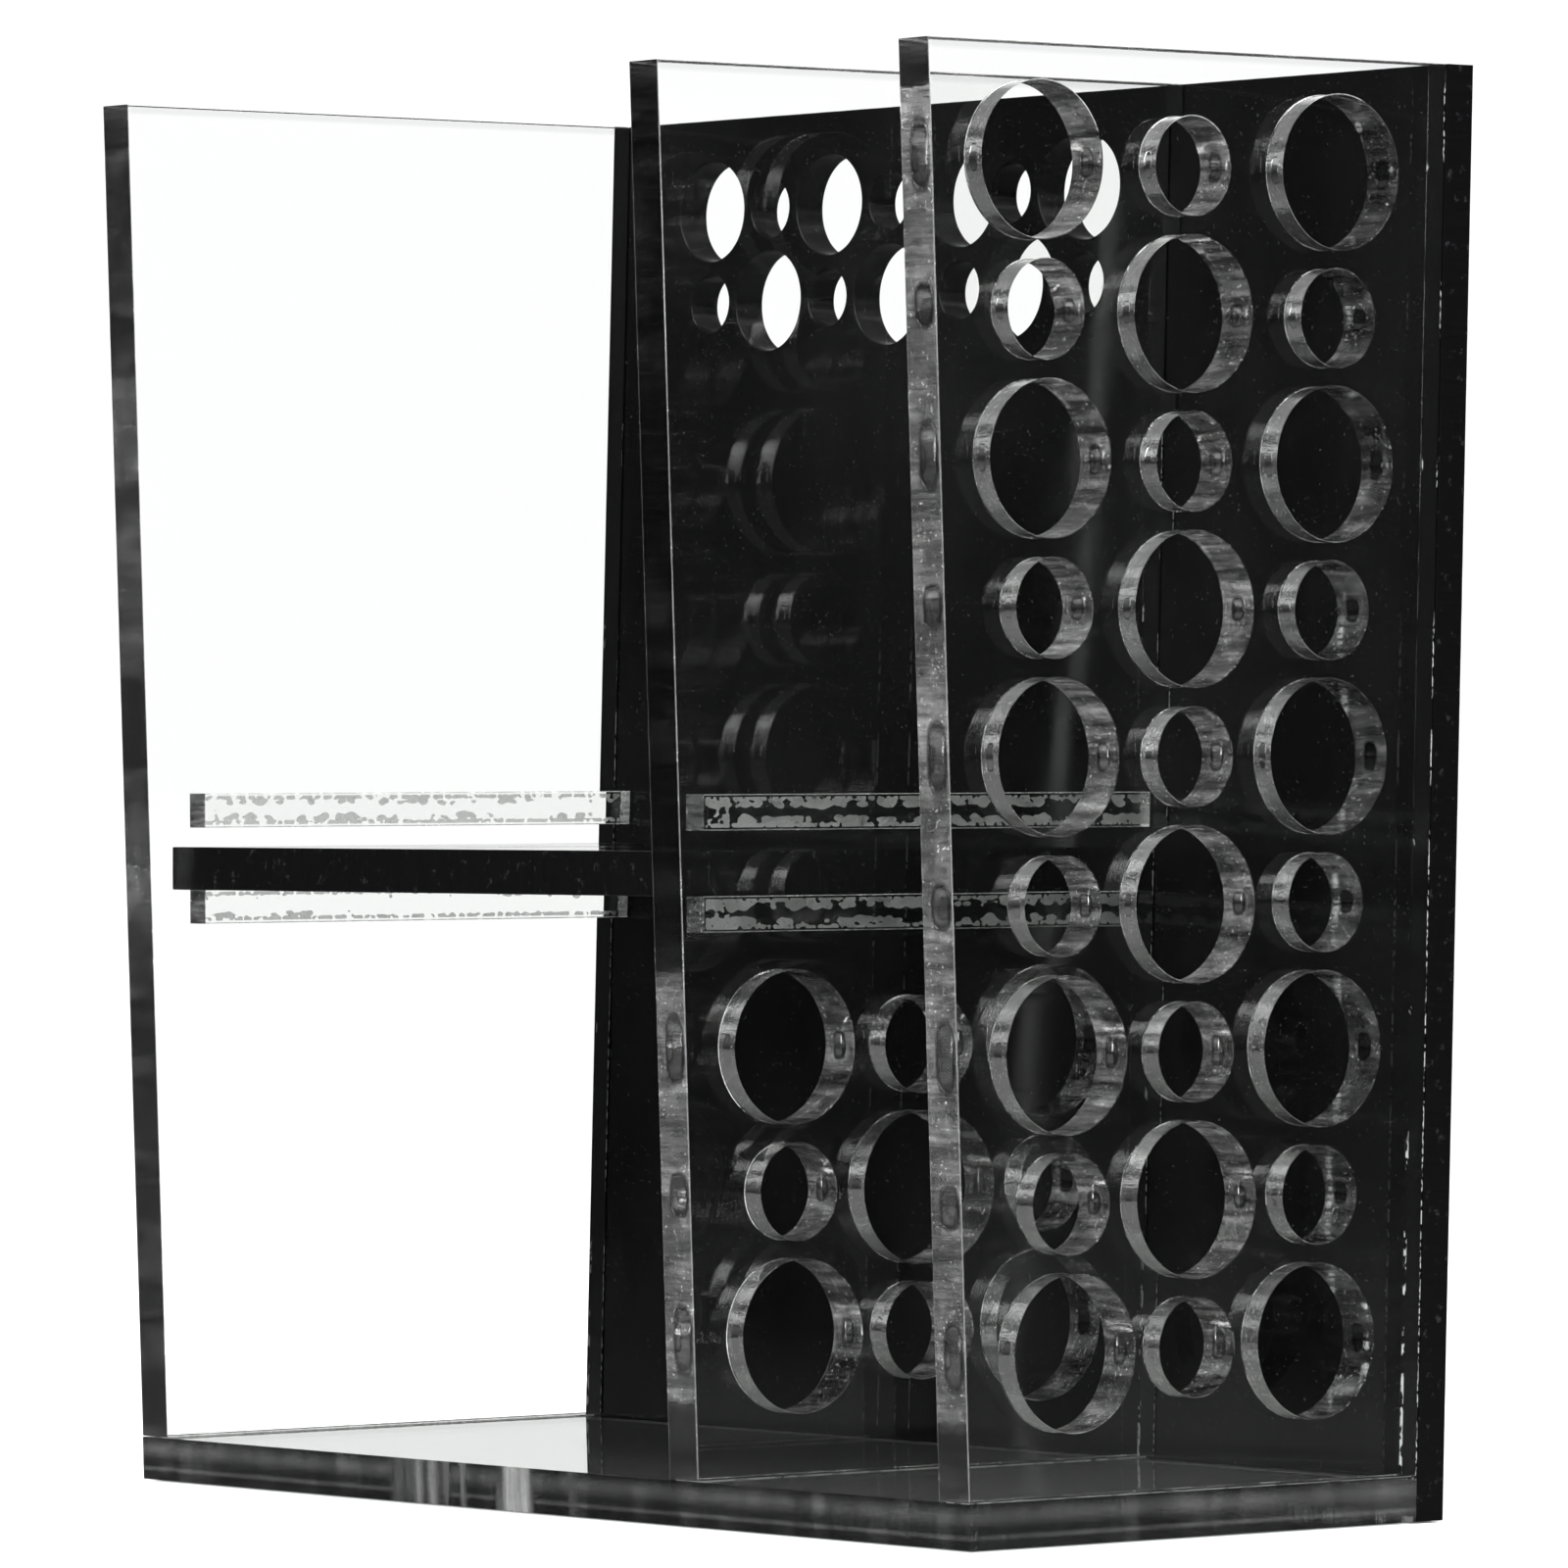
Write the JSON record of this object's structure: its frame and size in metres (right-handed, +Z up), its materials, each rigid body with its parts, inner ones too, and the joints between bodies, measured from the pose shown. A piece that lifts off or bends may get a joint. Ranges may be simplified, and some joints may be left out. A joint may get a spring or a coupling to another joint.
{
  "type": "paint rack organizer",
  "caption": "Free-standing rack of glued clear sheets on a black back, with round holes for paint pots and tools and a loose black shelf sliding on rails.",
  "frame": {"origin": "middle of the base's underside, halfway between the side panels' front and rear edges", "axes": "+X from the left side panel to the right one with the pot holes, +Y from the open front to the back panel, +Z up"},
  "size_m": [0.3, 0.158, 0.322],
  "materials": {
    "clear_acrylic": "polished clear sheet with laser-cut edges",
    "black_acrylic": "polished opaque black sheet",
    "cured_cement": "clear film with bubbles"
  },
  "bodies": {
    "rack": {"base_plate": "clear_acrylic", "back_panel": "black_acrylic", "left_side_panel": "clear_acrylic", "middle_divider": "clear_acrylic", "right_side_panel": "clear_acrylic", "left_lower_rail": "clear_acrylic", "left_upper_rail": "clear_acrylic", "divider_lower_rail": "clear_acrylic", "divider_upper_rail": "clear_acrylic", "left_base_seam": "cured_cement", "divider_base_seam": "cured_cement", "right_base_seam": "cured_cement", "base_back_seam": "cured_cement", "left_back_seam": "cured_cement", "divider_back_seam": "cured_cement", "right_back_seam": "cured_cement", "left_lower_rail_seam": "cured_cement", "left_upper_rail_seam": "cured_cement", "divider_lower_rail_seam": "cured_cement", "divider_upper_rail_seam": "cured_cement"},
    "shelf": {"sliding_shelf": "black_acrylic"}
  },
  "joints": [
    {"name": "shelf_slide", "type": "slide", "parent": "rack", "child": "shelf", "axis": [0, -1, 0], "range_m": [0, 0.145]}
  ]
}
